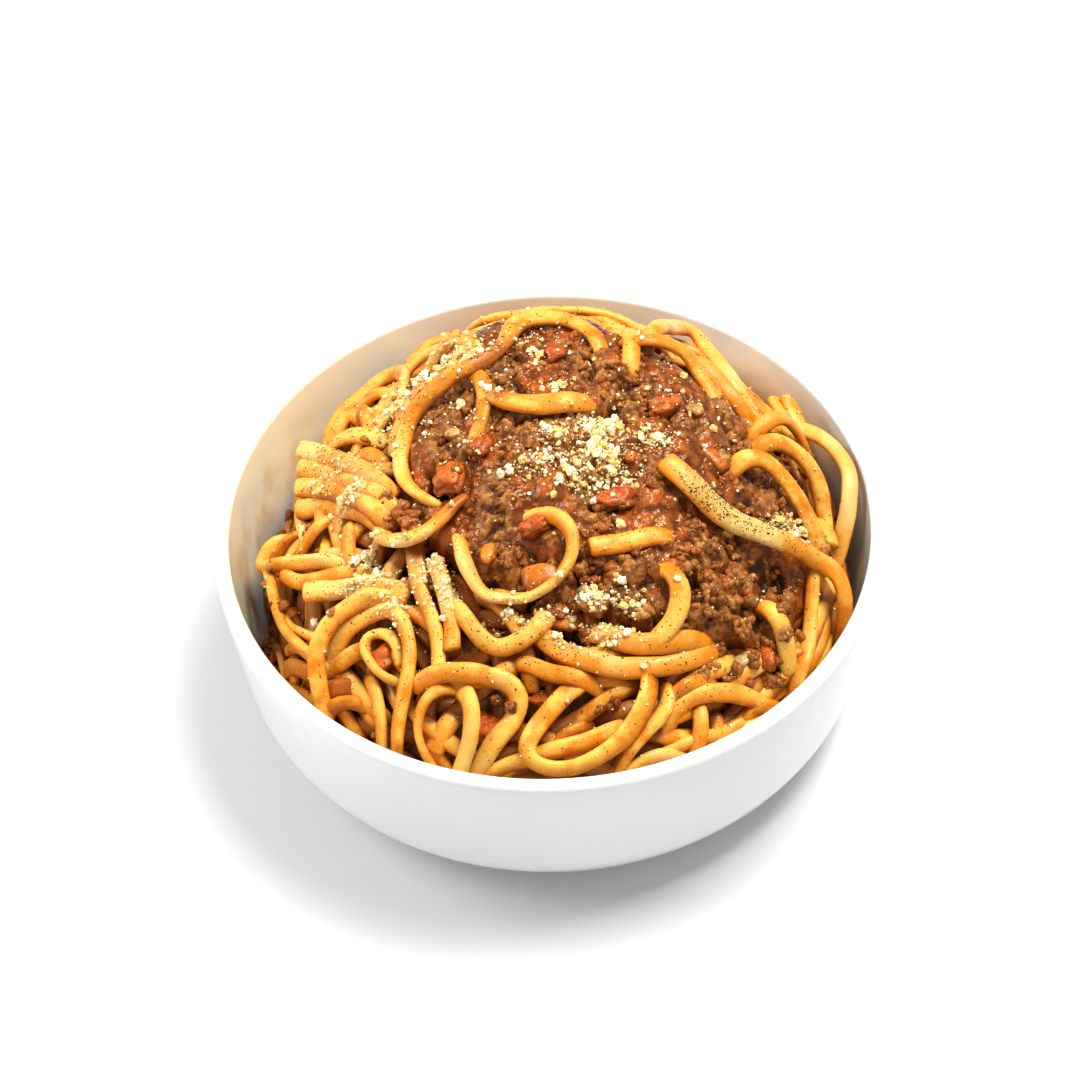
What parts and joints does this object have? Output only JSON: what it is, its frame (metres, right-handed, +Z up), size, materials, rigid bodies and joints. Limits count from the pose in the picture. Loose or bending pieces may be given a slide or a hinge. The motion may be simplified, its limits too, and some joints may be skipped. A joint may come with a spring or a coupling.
{
  "type": "linguine bolognese in a bowl",
  "caption": "Low round white bowl with near-vertical walls, heaped with tangled linguine under a crumbly meat and tomato sauce with grated cheese.",
  "frame": {"origin": "centre of the bowl's foot, on the plane that it stands on", "axes": "+Z up out of the bowl, +Y towards the back, where the heap is highest, +X to the right"},
  "size_m": [0.15, 0.15, 0.0761],
  "materials": {
    "bowl_glaze": "glossy white glaze, stained with oil and sauce on the inside of the left wall",
    "linguine": "golden cooked pasta, glossy with oil, stained orange by the sauce in places",
    "meat_sauce": "crumbly reddish brown minced meat, glossy with fat and tomato",
    "tomato": "soft cooked tomato, wet and glossy",
    "carrot": "cooked carrot, orange, slightly glossy",
    "onion": "translucent cooked onion, stained by the sauce"
  },
  "bodies": {
    "root": {"bowl": "bowl_glaze", "linguine_heap": "linguine", "meat_sauce": "meat_sauce", "tomato_chunk_1": "tomato", "tomato_chunk_2": "tomato", "tomato_chunk_3": "tomato", "tomato_chunk_4": "tomato", "carrot_slice_1": "carrot", "carrot_slice_2": "carrot", "onion_piece_1": "onion"}
  },
  "joints": []
}
